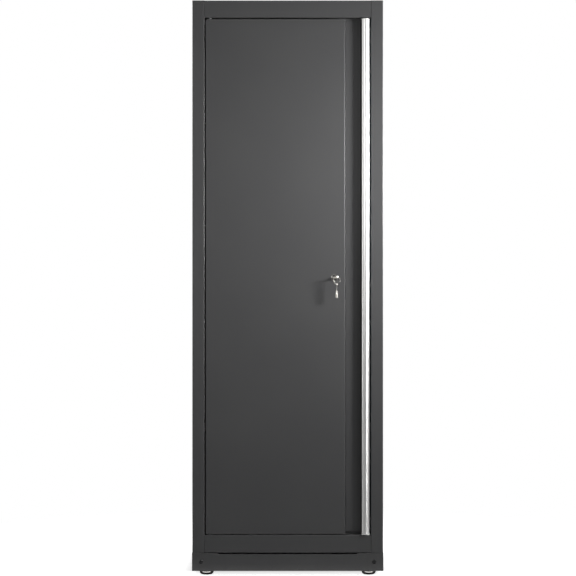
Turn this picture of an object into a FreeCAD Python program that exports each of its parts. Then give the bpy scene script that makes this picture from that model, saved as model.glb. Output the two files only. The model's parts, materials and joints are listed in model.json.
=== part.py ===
import FreeCAD, Part
import os
import re
import Sketcher

# Tall sheet steel side locker for a tool chest: one pivot-hung door with a
# full-height pull handle, a rod lock, four adjustable shelves, a kick plate
# and four levelling feet.  Millimetres, +Z up, the front faces -Y, and the
# origin lies on the floor under the middle of the cabinet.

doc = FreeCAD.newDocument("SideLocker")

SIZES = [
    ("width", 610, "over the two side panels"),
    ("depth", 460, "front face of the stiles to the back"),
    ("body_height", 1824, "sheet metal body without the feet"),
    ("foot_gap", 14, "floor to the underside of the body"),
    ("sheet", 1.2, "sheet steel thickness"),
    ("bend", 1.2, "inside bend radius"),
    ("cutout_play", 1, "free space around pieces in cut-outs"),
    ("stile_width", 39, "front fold of a side panel"),
    ("stile_depth", 24, "return behind the stile edge"),
    ("rear_return", 22, "rear fold of a side panel"),
    ("top_rail_height", 55.5, "face of the top rail"),
    ("bottom_rail_height", 57, "face of the bottom rail"),
    ("kick_height", 57.5, "face of the kick plate"),
    ("kick_gap", 0.8, "kick plate to bottom rail"),
    ("kick_notch", 4, "shallow notch in the kick plate top edge"),
    ("notch_in", 85, "notch from the side face at both ends"),
    ("kick_wing", 60, "side wing of the kick plate"),
    ("door_side_gap", 3.5, "door to stile"),
    ("door_top_gap", 4.8, "door to top rail"),
    ("door_bottom_gap", 2.8, "door to bottom rail"),
    ("door_thick", 20.5, "folded depth of the door"),
    ("lip_reach", 23, "front face to the stop lips of the rails"),
    ("lip_height", 17, "stop lip behind the door edge"),
    ("lip_relief", 18, "lips cut away around the pivot"),
    ("touch_play", 0.1, "faces that rest on each other"),
    ("strike_thick", 1.5, "strike plates on the lips"),
    ("strike_half", 10, "half width of a strike plate"),
    ("bracket_thick", 3, "pivot brackets inside the door"),
    ("bracket_reach", 25, "pivot brackets right of the pivot"),
    ("bracket_leg", 45, "pivot bracket leg on the door skin"),
    ("pin_head_radius", 6, "pivot pin head"),
    ("pin_head_height", 4, "pivot pin head"),
    ("pin_rise", 5, "pivot pins and bushes beyond the rail flange"),
    ("bush_wall", 1.4, "wall of the pivot bushes"),
    ("pivot_inset", 13, "pivot axis from the door's left edge"),
    ("pivot_reach", 8, "pivot axis behind the front face"),
    ("pin_radius", 4, "pivot pin"),
    ("collar_radius", 6.5, "pivot bush collar"),
    ("turn_fit", 0.05, "radial clearance of turning fits"),
    ("slide_fit", 0.3, "clearance of sliding parts"),
    ("seat_fit", 0.05, "radial clearance of fixed parts in their holes"),
    ("grip_width", 78.5, "finger channel piece, left edge to door edge"),
    ("grip_sink", 17, "depth of the finger channel"),
    ("handle_width", 27, "pull handle face"),
    ("handle_rise", 11, "pull handle in front of the door"),
    ("handle_wall", 2, "pull handle wall"),
    ("handle_over", 14.5, "handle overhang above the finger channel"),
    ("cap_thick", 2, "handle end caps"),
    ("cap_spigot", 8, "end cap spigot in the handle"),
    ("handle_past", 1.5, "handle beyond the door at both ends"),
    ("channel_low_gap", 7, "finger channel above the lower door edge"),
    ("channel_top_gap", 4, "finger channel below the upper door edge"),
    ("handle_screw_radius", 2, "handle screw shank"),
    ("handle_screw_head", 3.6, "handle screw head"),
    ("handle_screw_first", 60, "end screws of the handle from the door edges"),
    ("lock_in", 113, "lock axis from the right door edge"),
    ("lock_up", 951, "lock axis above the floor"),
    ("rosette_radius", 12, "lock rosette"),
    ("rosette_thick", 2.5, "lock rosette in front of the door"),
    ("housing_radius", 9.5, "threaded lock housing"),
    ("housing_depth", 18, "lock housing behind the front face"),
    ("lock_nut_flats", 22, "lock nut"),
    ("lock_nut_height", 4, "lock nut"),
    ("plug_radius", 6.5, "turning plug"),
    ("tail_half", 3.5, "half width of the plug's square tail"),
    ("cam_screw_radius", 2, "cam screw shank"),
    ("cam_screw_head", 3, "cam screw head"),
    ("cam_half", 6, "half width of the cam"),
    ("cam_thick", 2.5, "lock cam"),
    ("cam_throw", 14, "cam pin distance from the lock axis"),
    ("cam_pin_radius", 2.5, "cam pins"),
    ("rod_offset", 12, "lock rod middle from the lock axis"),
    ("rod_width", 12, "lock rod strip"),
    ("rod_thick", 3, "lock rod strip"),
    ("rod_slot_play", 0.7, "cam pin play in the rod slot"),
    ("rod_head_in", 4.2, "rod head from the lock axis"),
    ("rod_head_out", 22, "rod head from the lock axis"),
    ("rod_head_half", 8, "half height of a rod head"),
    ("rod_end_gap", 4, "drawn back rod end to the stop lip"),
    ("guide_half", 11, "half width of a rod guide"),
    ("guide_height", 16, "rod guide"),
    ("guide_wall", 2.5, "rod guide bridge"),
    ("guide_first", 250, "inner rod guides from the lock"),
    ("guide_end", 120, "outer rod guides from the door edges"),
    ("channel_width", 62, "hat channels behind the door skin"),
    ("channel_foot", 12, "foot of a hat channel"),
    ("stiffener_in", 202.5, "plain door stiffener from the left door edge"),
    ("buffer_radius", 6, "rubber door buffers"),
    ("upright_width", 28, "slotted shelf upright"),
    ("upright_stand", 12, "upright off the side panel"),
    ("upright_play", 12, "upright ends below the folds of the top panel"),
    ("upright_front_in", 65, "front uprights from the front face"),
    ("upright_rear_in", 40, "rear uprights from the back"),
    ("slot_first", 180, "lowest shelf slot"),
    ("slot_pitch", 50, "shelf slot pitch"),
    ("slot_width", 10, "shelf slot"),
    ("slot_height", 7, "shelf slot"),
    ("shelf_front_in", 42, "shelves from the front face"),
    ("shelf_rear_in", 15, "shelves from the back"),
    ("shelf_height", 25, "folded edge of a shelf"),
    ("shelf_side_gap", 1, "shelf to upright"),
    ("floor_fold", 29, "folded edge of the locker floor"),
    ("top_fold", 25, "folded edge of the top panel"),
    ("base_top", 66, "top of the base rails"),
    ("base_fold", 30, "folded edge of the base rails"),
    ("base_width", 48, "base rail front to back"),
    ("foot_in", 45, "levelling feet from the side faces"),
    ("foot_reach", 25, "levelling feet in from front and back"),
    ("glide_top_radius", 22.5, "bowl-shaped glide, rim"),
    ("glide_low_radius", 14.5, "bowl-shaped glide, sole"),
    ("glide_height", 12.5, "bowl-shaped glide"),
    ("stem_radius", 5, "foot stem"),
    ("stem_seat", 8, "stem sunk in the glide"),
    ("jam_nut_height", 6, "jam nut on the stem"),
    ("stem_top", 80, "upper end of the foot stem"),
    ("nut_height", 10, "weld nuts of the feet"),
    ("nut_flats", 17, "weld nuts of the feet"),
    ("thread_fit", 0.1, "radial clearance of stems and screws in nuts"),
    ("screw_in", 28, "kick plate screws from the side faces"),
    ("screw_up", 43.5, "kick plate screws above the floor"),
    ("screw_radius", 3, "kick plate screw shank"),
    ("screw_head_radius", 5.5, "kick plate screw head"),
    ("screw_head_height", 3.3, "kick plate screw head"),
    ("screw_nut_height", 5, "weld nuts of the kick plate"),
    ("clip_width", 12, "shelf clip"),
    ("clip_gauge", 2, "shelf clip sheet"),
    ("clip_reach", 15, "ledge of a shelf clip"),
    ("clip_drop", 20, "shelf clip below its ledge"),
    ("tongue_height", 5, "clip tongue in the slot"),
    ("tongue_width", 8, "clip tongue in the slot"),
    ("join_hole_radius", 4.5, "holes for joining the locker to a chest"),
    ("join_hole_half", 100, "joining holes in front of and behind the middle"),
    ("join_hole_low", 300, "lower joining holes above the floor"),
    ("join_hole_down", 238, "upper joining holes below the top"),
    ("wall_hole_in", 105, "wall fixing holes from the side faces"),
    ("wall_hole_radius", 4, "wall fixing holes"),
    ("key_bow_radius", 8, "key bow"),
    ("key_hole_radius", 4.6, "ring hole in the key bow"),
    ("key_thick", 2, "flat bow and neck of a key"),
    ("key_neck_half", 3, "half width of the flat neck"),
    ("key_neck", 19, "tube start, from the middle of the bow"),
    ("key_length", 42, "tube end, from the middle of the bow"),
    ("tube_radius", 3.8, "key tube"),
    ("tube_bore", 2.6, "bore of the key tube"),
    ("tube_depth", 12, "bore of the key tube"),
    ("lug_half", 0.8, "half width of the lug on the key tube"),
    ("lug_high", 1, "lug above the key tube"),
    ("lug_length", 3, "lug on the key tube"),
    ("key_in", 11, "key tube inside the plug"),
    ("key_fit", 0.1, "key in its keyway"),
    ("ring_play", 0.1, "key ring around the key bow"),
    ("ring_radius", 10.75, "key ring, middle of the wire"),
    ("ring_wire", 0.8, "key ring wire radius"),
]

PLACES = [
    ("side_face", "width / 2"),
    ("side_inner", "side_face - sheet"),
    ("front", "0 - depth / 2"),
    ("back", "depth / 2"),
    ("stile_edge", "side_face - stile_width"),
    ("body_top", "foot_gap + body_height"),
    ("kick_top", "foot_gap + kick_height"),
    ("rail_low", "kick_top + kick_gap"),
    ("opening_low", "rail_low + bottom_rail_height"),
    ("opening_top", "body_top - top_rail_height"),
    ("lip_front", "front + lip_reach"),
    ("lip_back", "lip_front + sheet"),
    ("door_left", "door_side_gap - stile_edge"),
    ("door_right", "stile_edge - door_side_gap"),
    ("door_low", "opening_low + door_bottom_gap"),
    ("door_top", "opening_top - door_top_gap"),
    ("door_back", "front + door_thick"),
    ("grip_left", "door_right - grip_width"),
    ("lock_across", "door_right - lock_in"),
    ("stiffener_across", "door_left + stiffener_in"),
    ("screw_across", "side_face - screw_in"),
    ("foot_across", "side_face - foot_in"),
    ("kick_notch_half", "side_face - notch_in"),
    ("wall_hole_half", "side_face - wall_hole_in"),
    ("join_hole_high", "body_top - join_hole_down"),
    ("upright_front", "front + upright_front_in"),
    ("upright_rear", "back - upright_rear_in"),
    ("shelf_front", "front + shelf_front_in"),
    ("shelf_rear", "back - shelf_rear_in"),
    ("pivot_x", "door_left + pivot_inset"),
    ("pivot_y", "front + pivot_reach"),
    ("skin_back", "front + sheet"),
    ("channel_front", "front + grip_sink"),
    ("ledge_x", "door_right - handle_width + handle_over"),
    ("back_inner", "back - 2 * sheet"),
    ("cam_front", "door_back + 3.5"),
    ("cam_back", "cam_front + cam_thick"),
    ("rod_front", "cam_back + 0.5"),
    ("rod_back", "rod_front + rod_thick"),
    ("upright_face", "side_inner - upright_stand"),
    ("shelf_side", "upright_face - shelf_side_gap"),
    ("foot_y", "front + foot_reach"),
    ("seat_rise", "slot_first + tongue_height / 2"),
    ("nut_low", "base_top - sheet - nut_height"),
    ("kick_front", "front - sheet"),
    ("kick_side", "side_face + sheet"),
    ("screw_nut_front", "front + 2 * sheet"),
    ("upper_rod_x", "lock_across - rod_offset"),
    ("lower_rod_x", "lock_across + rod_offset"),
    ("cam_drop", "cam_throw * sqrt(0.5)"),
    ("handle_axis", "door_right - handle_width / 2"),
    ("handle_curve", "(handle_width * handle_width / 4 + handle_rise * handle_rise) / (2 * handle_rise)"),
    ("handle_centre", "front - handle_rise + handle_curve"),
    ("handle_low", "door_low - handle_past"),
    ("handle_top", "door_top + handle_past"),
    ("handle_screw_x", "(ledge_x + door_right) / 2"),
    ("bracket_top", "door_top - sheet"),
    ("bracket_low", "door_low + sheet"),
    ("lock_face", "front - rosette_thick"),
    ("lip_top_edge", "opening_top - lip_height"),
    ("lip_low_edge", "opening_low + lip_height"),
    ("limb_x", "lock_across + (key_bow_radius + key_hole_radius) / 2"),
    ("bow_y", "lock_face + key_in - key_length"),
    ("limb_reach", "sqrt(pow(key_bow_radius - key_hole_radius; 2) + pow(key_thick; 2)) / 2"),
    ("ring_z", "lock_up - (ring_radius - ring_wire - limb_reach - ring_play)"),
    ("spare_z", "ring_z - ring_radius + ring_wire + touch_play - key_hole_radius"),
]


def fill(name, rows, place):
    """Make a spreadsheet whose rows are an alias, its content and a remark."""
    table = doc.addObject("Spreadsheet::Sheet", name)
    for line, row in enumerate(rows, start=1):
        table.set(f"A{line}", row[0])
        table.set(f"B{line}", place(row[1]))
        table.setAlias(f"B{line}", row[0])
        if len(row) > 2:
            table.set(f"C{line}", row[2])
    return table


SHEET_OF = {row[0]: "Sizes" for row in SIZES}
SHEET_OF.update({row[0]: "Places" for row in PLACES})


def bound(text):
    """Write the sheet in front of each cell name of an expression."""
    def full(found):
        word = found.group(0)
        return f"{SHEET_OF[word]}.{word}" if word in SHEET_OF else word
    return re.sub(r"[a-z][a-z0-9_]*", full, str(text))


sizes = fill("Sizes", SIZES, str)
places = fill("Places", PLACES, lambda text: "=" + bound(text))
doc.recompute()

BODIES = []


def value(text):
    """The number an expression gives with the present sizes."""
    return float(BODIES[-1].evalExpression(bound(text)))


def origin_part(body, role):
    return next(item for item in body.Origin.OriginFeatures if item.Role == role)


def new_body(name):
    """An empty body whose label names its file."""
    body = doc.addObject("PartDesign::Body", name)
    body.Label = name
    BODIES.append(body)
    return body


def sketch_on(body, plane, offset="0"):
    """A sketch on an origin plane of its own body, moved along the plane's normal."""
    sketch = body.newObject("Sketcher::SketchObject", "Sketch")
    sketch.AttachmentSupport = [(origin_part(body, plane), "")]
    sketch.MapMode = "FlatFace"
    sketch.setExpression(".AttachmentOffset.Base.z", bound(offset))
    return sketch


def pin_point(sketch, geometry, point, spot):
    """Tie one point of a sketch to two expressions."""
    for kind, text in zip(("DistanceX", "DistanceY"), spot):
        number = sketch.addConstraint(
            Sketcher.Constraint(kind, -1, 1, geometry, point, value(text)))
        sketch.setExpression(f"Constraints[{number}]", bound(text))


def polygon(sketch, spots):
    """A closed polygon through the given pairs of expressions."""
    first = sketch.GeometryCount
    flat = [FreeCAD.Vector(value(across), value(along), 0) for across, along in spots]
    count = len(spots)
    for index in range(count):
        line = Part.LineSegment(flat[index], flat[(index + 1) % count])
        sketch.addGeometry(line, False)
    for index in range(count):
        sketch.addConstraint(Sketcher.Constraint(
            "Coincident", first + index, 2, first + (index + 1) % count, 1))
    for index, spot in enumerate(spots):
        pin_point(sketch, first + index, 1, spot)


def rectangle(sketch, left, right, low, high):
    polygon(sketch, [(left, low), (right, low), (right, high), (left, high)])


def circle(sketch, across, along, radius):
    """A circle with its centre and radius tied to expressions."""
    centre = FreeCAD.Vector(value(across), value(along), 0)
    ring = Part.Circle(centre, FreeCAD.Vector(0, 0, 1), value(radius))
    number = sketch.addGeometry(ring, False)
    pin_point(sketch, number, 3, (across, along))
    constraint = sketch.addConstraint(Sketcher.Constraint("Radius", number, value(radius)))
    sketch.setExpression(f"Constraints[{constraint}]", bound(radius))


def extrude(body, sketch, kind, length, reverse=False):
    """Pad or pocket a sketch by an expression."""
    feature = body.newObject("PartDesign::" + kind, kind)
    feature.Profile = sketch
    feature.setExpression("Length", bound(length))
    feature.Reversed = reverse
    doc.recompute()
    return feature


def revolve(body, sketch, axis):
    """Turn a sketch once around an axis given by its two sketch points."""
    feature = body.newObject("PartDesign::Revolution", "Revolution")
    feature.Profile = sketch
    feature.ReferenceAxis = axis
    feature.Angle = 360
    doc.recompute()
    return feature


def round_edges(body, base, radius, spots):
    """Fillet the edges whose middle lies at one of the spots; None leaves an axis free."""
    names = []
    for number, edge in enumerate(base.Shape.Edges, start=1):
        middle = edge.valueAt((edge.FirstParameter + edge.LastParameter) / 2)
        for spot in spots:
            pairs = [(text, at) for text, at in zip(spot, middle) if text is not None]
            if all(abs(value(text) - at) < 0.002 for text, at in pairs):
                names.append(f"Edge{number}")
                break
    feature = body.newObject("PartDesign::Fillet", "Fillet")
    feature.Base = (base, names)
    feature.setExpression("Radius", bound(radius))
    doc.recompute()
    return feature


def repeat(body, features, steps):
    """Repeat features with a list of (kind, role, length, count) steps."""
    turns = []
    group = body.newObject("PartDesign::MultiTransform", "Pattern")
    group.Originals = features
    for kind, role, length, count in steps:
        step = body.newObject("PartDesign::" + kind, kind)
        if kind == "Mirrored":
            step.MirrorPlane = (origin_part(body, role), [""])
        else:
            step.Direction = (origin_part(body, role), [""])
            step.setExpression("Length", bound(length))
            step.Occurrences = count
        turns.append(step)
    group.Transformations = turns
    body.Tip = group
    doc.recompute()
    return group


def folded(name, plane, path, offset, length, side):
    """A bent sheet along a path of square corners.

    The path is one face of the sheet, which lies on its left (side 1) or
    right (side -1).  Every corner gets the inside bend radius.
    """
    body = new_body(name)
    spots = [(value(across), value(along)) for across, along in path]
    steps = []
    for start, end in zip(spots, spots[1:]):
        run = [end[0] - start[0], end[1] - start[1]]
        size = abs(run[0]) + abs(run[1])
        steps.append((round(run[0] / size), round(run[1] / size)))
    normals = [(-side * step[1], side * step[0]) for step in steps]
    inner = []
    for index, spot in enumerate(path):
        near = {max(index - 1, 0), min(index, len(normals) - 1)}
        shift = [sum(normals[number][axis] for number in near) for axis in (0, 1)]
        inner.append(tuple(f"{text} + ({move}) * sheet" for text, move in zip(spot, shift)))
    sketch = sketch_on(body, plane, offset)
    polygon(sketch, list(path) + inner[::-1])
    feature = extrude(body, sketch, "Pad", length)
    tight, wide = [], []
    for index in range(1, len(path) - 1):
        turn = steps[index - 1][0] * steps[index][1] - steps[index - 1][1] * steps[index][0]
        outside, inside = (path, inner) if turn * side > 0 else (inner, path)
        wide.append(in_space(plane, outside[index]))
        tight.append(in_space(plane, inside[index]))
    feature = round_edges(body, feature, "bend + sheet", wide)
    round_edges(body, feature, "bend", tight)
    return body


def in_space(plane, spot):
    """The space coordinates of a sketch point, free along the plane's normal."""
    if plane == "XY_Plane":
        return (spot[0], spot[1], None)
    if plane == "XZ_Plane":
        return (spot[0], None, spot[1])
    return (None, spot[0], spot[1])


def pan(name, plane, edges, offset, height):
    """A sheet tray: a closed face at the far end of the pad and four folded sides."""
    body = new_body(name)
    left, right, low, high = edges
    outer = sketch_on(body, plane, offset)
    rectangle(outer, left, right, low, high)
    block = extrude(body, outer, "Pad", height)
    hollow = sketch_on(body, plane, f"{offset} + {height} - sheet")
    walls = (f"{left} + sheet", f"{right} - sheet", f"{low} + sheet", f"{high} - sheet")
    rectangle(hollow, *walls)
    shell = extrude(body, hollow, "Pocket", height)
    far = f"{offset} + {height}"
    face = {"XY_Plane": (None, None, far), "XZ_Plane": (None, f"0 - ({far})", None)}[plane]
    corners = [in_space(plane, (across, along)) for across in (left, right) for along in (low, high)]
    shell = round_edges(body, shell, "bend + sheet", [face] + corners)
    far = f"{offset} + {height} - sheet"
    face = {"XY_Plane": (None, None, far), "XZ_Plane": (None, f"0 - ({far})", None)}[plane]
    corners = [in_space(plane, (across, along)) for across in walls[:2] for along in walls[2:]]
    round_edges(body, shell, "bend", [face] + corners)
    return body


def drill(body, plane, offset, holes, length, reverse=False):
    """Round holes, each an (across, along, radius) of expressions."""
    sketch = sketch_on(body, plane, offset)
    for hole in holes:
        circle(sketch, *hole)
    return extrude(body, sketch, "Pocket", length, reverse)


def cut_box(body, plane, offset, edges, length, reverse=False):
    sketch = sketch_on(body, plane, offset)
    rectangle(sketch, *edges)
    return extrude(body, sketch, "Pocket", length, reverse)


def add_box(body, plane, offset, edges, length, reverse=False):
    sketch = sketch_on(body, plane, offset)
    rectangle(sketch, *edges)
    return extrude(body, sketch, "Pad", length, reverse)


def turned(name, plane, offset, centre, profile):
    """A solid of revolution about a line at centre, along the sketch's second axis.

    The profile is (radius, along) pairs of expressions.
    """
    body = new_body(name)
    add_turned(body, plane, offset, centre, profile)
    return body


def add_turned(body, plane, offset, centre, profile):
    """Revolve a profile of (radius, along) pairs about a line at centre."""
    sketch = sketch_on(body, plane, offset)
    polygon(sketch, [(f"{centre} + {radius}", along) for radius, along in profile])
    middle = value(centre)
    axis = Part.LineSegment(FreeCAD.Vector(middle, 0, 0), FreeCAD.Vector(middle, value("depth"), 0))
    line = sketch.addGeometry(axis, True)
    pin_point(sketch, line, 1, (centre, "0"))
    pin_point(sketch, line, 2, (centre, "depth"))
    doc.recompute()
    return revolve(body, sketch, (sketch, ["Axis0"]))


def hexagon(sketch, across, along, flats):
    """A hexagon around a point, measured over its flats."""
    corner = f"({flats}) / sqrt(3)"
    polygon(sketch, [(f"{across} + {corner} * cos({60 * turn})", f"{along} + {corner} * sin({60 * turn})")
                     for turn in range(6)])


# Side panels with the front stiles and the rear returns folded on.

for name, sign in (("left_side_panel", "-1"), ("right_side_panel", "1")):
    path = [
        (f"{sign} * stile_edge", "front + stile_depth"),
        (f"{sign} * stile_edge", "front"),
        (f"{sign} * side_face", "front"),
        (f"{sign} * side_face", "back"),
        (f"{sign} * (side_face - rear_return)", "back"),
    ]
    panel = folded(name, "XY_Plane", path, "foot_gap", "body_height", int(sign))
    near, far = "stile_edge - cutout_play", "stile_edge + sheet + bend + cutout_play"
    if sign == "-1":
        near, far = f"0 - ({far})", f"0 - ({near})"
    cut_box(panel, "XY_Plane", "foot_gap", (near, far, "skin_back", "front + stile_depth + cutout_play"),
            "base_top + cutout_play - foot_gap", True)
    holes = [(across, along, "join_hole_radius")
             for across in ("0 - join_hole_half", "join_hole_half")
             for along in ("join_hole_low", "join_hole_high")]
    start = "side_face" if sign == "1" else "0 - side_inner"
    drill(panel, "YZ_Plane", start, holes, "sheet")
    drill(panel, "XZ_Plane", "depth / 2", [(f"{sign} * screw_across", "screw_up", "screw_radius + thread_fit")],
          "sheet")

# Back, top and floor.

back = new_body("back_panel")
add_box(back, "XZ_Plane", "0 - (back - sheet)", ("bend - side_inner", "side_inner - bend", "base_fold", "body_top"), "sheet")
drill(back, "XZ_Plane", "0 - back_inner",
      [(f"{sign} * wall_hole_half", height, "wall_hole_radius")
       for sign in ("-1", "1") for height in ("join_hole_low", "join_hole_high")], "sheet")

top = pan("top_panel", "XY_Plane", ("0 - side_inner", "side_inner", "skin_back", "back_inner"),
          "body_top - top_fold", "top_fold")
cut_box(top, "XY_Plane", "body_top", ("0 - stile_edge - sheet - bend", "stile_edge + sheet + bend",
                                      "front", "front + stile_depth + bend"), "top_fold + cutout_play")
floor = pan("bottom_panel", "XY_Plane", ("0 - side_inner", "side_inner", "lip_back", "back_inner"),
            "opening_low - floor_fold", "floor_fold")

# Rails of the door opening.  Their lips behind the door are its stops.

rail = folded("top_rail", "YZ_Plane",
              [("front + stile_depth + bend", "body_top"), ("front", "body_top"), ("front", "opening_top"),
               ("lip_front", "opening_top"), ("lip_front", "opening_top - lip_height")],
              "0 - stile_edge", "2 * stile_edge", 1)
drill(rail, "XY_Plane", "opening_top + sheet", [("pivot_x", "pivot_y", "pin_radius + bush_wall + seat_fit")], "sheet")
relief = ("0 - stile_edge - cutout_play", "pivot_x + lip_relief", "front + lip_reach - bend", "lip_back + cutout_play")
cut_box(rail, "XY_Plane", "opening_top", relief, "lip_height + cutout_play")
rail = folded("bottom_rail", "YZ_Plane",
              [("front + stile_depth - 8", "rail_low"), ("front", "rail_low"), ("front", "opening_low"),
               ("lip_front", "opening_low"), ("lip_front", "opening_low + lip_height")],
              "0 - stile_edge", "2 * stile_edge", -1)
drill(rail, "XY_Plane", "opening_low", [("pivot_x", "pivot_y", "pin_radius + bush_wall + seat_fit")], "sheet")
cut_box(rail, "XY_Plane", "opening_low", relief, "lip_height + cutout_play", True)

# Base rails across the bottom, with the feet's weld nuts under their webs.

for name, near, far in (("front_base_rail", "skin_back", "skin_back + base_width"),
                        ("rear_base_rail", "back_inner - base_width", "back_inner")):
    rail = folded(name, "YZ_Plane", [(near, "base_fold"), (near, "base_top"), (far, "base_top"), (far, "base_fold")],
                  "bend - side_inner", "2 * (side_inner - bend)", -1)
    middle = "foot_y" if name.startswith("front") else "0 - foot_y"
    drill(rail, "XY_Plane", "base_top",
          [(f"{sign} * foot_across", middle, "stem_radius + cutout_play") for sign in ("-1", "1")], "sheet")
    if name.startswith("front"):
        drill(rail, "XZ_Plane", "0 - skin_back",
              [(f"{sign} * screw_across", "screw_up", "screw_radius + thread_fit") for sign in ("-1", "1")], "sheet")

nuts = new_body("foot_nuts")
sketch = sketch_on(nuts, "XY_Plane", "nut_low")
hexagon(sketch, "foot_across", "foot_y", "nut_flats")
circle(sketch, "foot_across", "foot_y", "stem_radius + thread_fit")
nut = extrude(nuts, sketch, "Pad", "nut_height")
repeat(nuts, [nut], [("Mirrored", "YZ_Plane", None, None), ("Mirrored", "XZ_Plane", None, None)])

# Kick plate around the front corners, its screws and their weld nuts.

kick = folded("kick_plate", "XY_Plane",
              [("0 - kick_side", "front + kick_wing"), ("0 - kick_side", "kick_front"),
               ("kick_side", "kick_front"), ("kick_side", "front + kick_wing")],
              "foot_gap", "kick_height", 1)
notch = sketch_on(kick, "XZ_Plane", "0 - kick_front")
polygon(notch, [("0 - kick_notch_half", "kick_top - kick_notch"), ("kick_notch_half", "kick_top - kick_notch"),
                ("kick_notch_half + kick_notch", "kick_top"), ("kick_notch_half + kick_notch", "kick_top + cutout_play"),
                ("0 - kick_notch_half - kick_notch", "kick_top + cutout_play"),
                ("0 - kick_notch_half - kick_notch", "kick_top")])
extrude(kick, notch, "Pocket", "sheet")
flange = add_box(kick, "XY_Plane", "kick_top - kick_notch - sheet",
                 ("cutout_play - kick_notch_half", "kick_notch_half - cutout_play", "kick_front", "front + stile_depth - 10"),
                 "sheet")
drill(kick, "XZ_Plane", "0 - kick_front",
      [(f"{sign} * screw_across", "screw_up", "screw_radius + thread_fit") for sign in ("-1", "1")], "sheet")

screws = new_body("kick_plate_screws")
screw = add_turned(screws, "XY_Plane", "screw_up", "screw_across", [
    ("0", "kick_front - screw_head_height"), ("screw_head_radius - 2", "kick_front - screw_head_height"),
    ("screw_head_radius - 0.5", "kick_front - screw_head_height + 1"), ("screw_head_radius", "kick_front - 1.2"),
    ("screw_head_radius", "kick_front"), ("screw_radius", "kick_front"),
    ("screw_radius", "screw_nut_front + screw_nut_height + cutout_play"),
    ("0", "screw_nut_front + screw_nut_height + cutout_play")])
socket = sketch_on(screws, "XZ_Plane", "0 - (kick_front - screw_head_height)")
hexagon(socket, "screw_across", "screw_up", "screw_radius * 4 / 3")
socket = extrude(screws, socket, "Pocket", "screw_head_height * 0.6")
repeat(screws, [screw, socket], [("Mirrored", "YZ_Plane", None, None)])

nuts = new_body("kick_plate_nuts")
sketch = sketch_on(nuts, "XZ_Plane", "0 - (screw_nut_front + screw_nut_height)")
hexagon(sketch, "screw_across", "screw_up", "screw_radius * 10 / 3")
circle(sketch, "screw_across", "screw_up", "screw_radius + thread_fit")
nut = extrude(nuts, sketch, "Pad", "screw_nut_height")
repeat(nuts, [nut], [("Mirrored", "YZ_Plane", None, None)])

# Levelling feet: a bowl-shaped glide swaged on a threaded stem.

for across_name, sign in (("left", "-1"), ("right", "1")):
    for along_name, way in (("front", "1"), ("rear", "-1")):
        centre = f"{sign} * foot_across"
        turned(f"glide_{along_name}_{across_name}", "XZ_Plane", f"0 - ({way}) * foot_y", centre, [
            ("0", "0"), ("glide_low_radius - 1", "0"), ("glide_low_radius", "0.8"),
            ("glide_low_radius + 3.2", "3.5"), ("glide_top_radius - 2", "glide_height - 4.2"),
            ("glide_top_radius", "glide_height - 1.6"), ("glide_top_radius", "glide_height - 0.6"),
            ("glide_top_radius - 0.6", "glide_height"), ("stem_radius + seat_fit", "glide_height"),
            ("stem_radius + seat_fit", "glide_height - stem_seat"), ("0", "glide_height - stem_seat")])
        turned(f"stem_{along_name}_{across_name}", "XZ_Plane", f"0 - ({way}) * foot_y", centre, [
            ("0", "glide_height - stem_seat"), ("stem_radius", "glide_height - stem_seat"),
            ("stem_radius", "nut_low - touch_play - jam_nut_height"),
            ("nut_flats / 2", "nut_low - touch_play - jam_nut_height"), ("nut_flats / 2", "nut_low - touch_play"),
            ("stem_radius", "nut_low - touch_play"), ("stem_radius", "stem_top - 1"),
            ("stem_radius - 1", "stem_top"), ("0", "stem_top")])

# Slotted uprights, shelf clips and shelves.

for along_name, along in (("front", "upright_front"), ("rear", "upright_rear")):
    for across_name, sign in (("left", "-1"), ("right", "1")):
        near, far = f"{along} - upright_width / 2", f"{along} + upright_width / 2"
        path = [(f"{sign} * side_inner", near), (f"{sign} * upright_face", near),
                (f"{sign} * upright_face", far), (f"{sign} * side_inner", far)]
        upright = folded(f"upright_{along_name}_{across_name}", "XY_Plane", path, "opening_low",
                         "body_top - top_fold - upright_play - opening_low", -int(sign))
        start = "upright_face + sheet" if sign == "1" else "0 - upright_face"
        slot = cut_box(upright, "YZ_Plane", start,
                       (f"{along} - slot_width / 2", f"{along} + slot_width / 2",
                        "slot_first - slot_height / 2", "slot_first + slot_height / 2"), "sheet")
        repeat(upright, [slot], [("LinearPattern", "Z_Axis", "31 * slot_pitch", 32)])

LOWEST_SHELF_SLOT = 5
SHELF_SLOT_STEP = 7
SHELF_COUNT = 4

clips = new_body("shelf_clips")
seat = f"seat_rise + {LOWEST_SHELF_SLOT} * slot_pitch"
half = "clip_width / 2"
parts = [
    add_box(clips, "XY_Plane", f"{seat} - clip_drop",
            ("upright_face - clip_gauge", "upright_face", f"upright_front - {half}", f"upright_front + {half}"),
            "clip_drop"),
    add_box(clips, "XY_Plane", f"{seat} - clip_gauge",
            ("upright_face - clip_reach", "upright_face", f"upright_front - {half}", f"upright_front + {half}"),
            "clip_gauge"),
    add_box(clips, "XY_Plane", f"{seat} - tongue_height",
            ("upright_face - clip_gauge", "upright_face + 3", "upright_front - tongue_width / 2",
             "upright_front + tongue_width / 2"), "tongue_height"),
]
repeat(clips, parts, [
    ("LinearPattern", "Y_Axis", "upright_rear - upright_front", 2), ("Mirrored", "YZ_Plane", None, None),
    ("LinearPattern", "Z_Axis", f"{(SHELF_COUNT - 1) * SHELF_SLOT_STEP} * slot_pitch", SHELF_COUNT)])

for number in range(SHELF_COUNT):
    level = f"seat_rise + {LOWEST_SHELF_SLOT + number * SHELF_SLOT_STEP} * slot_pitch"
    pan(f"shelf_{number + 1}", "XY_Plane", ("0 - shelf_side", "shelf_side", "shelf_front", "shelf_rear"),
        level, "shelf_height")

# Door: a folded skin, the finger channel at its right edge and two hat
# channels behind it.  The right one carries the lock rods.

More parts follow.
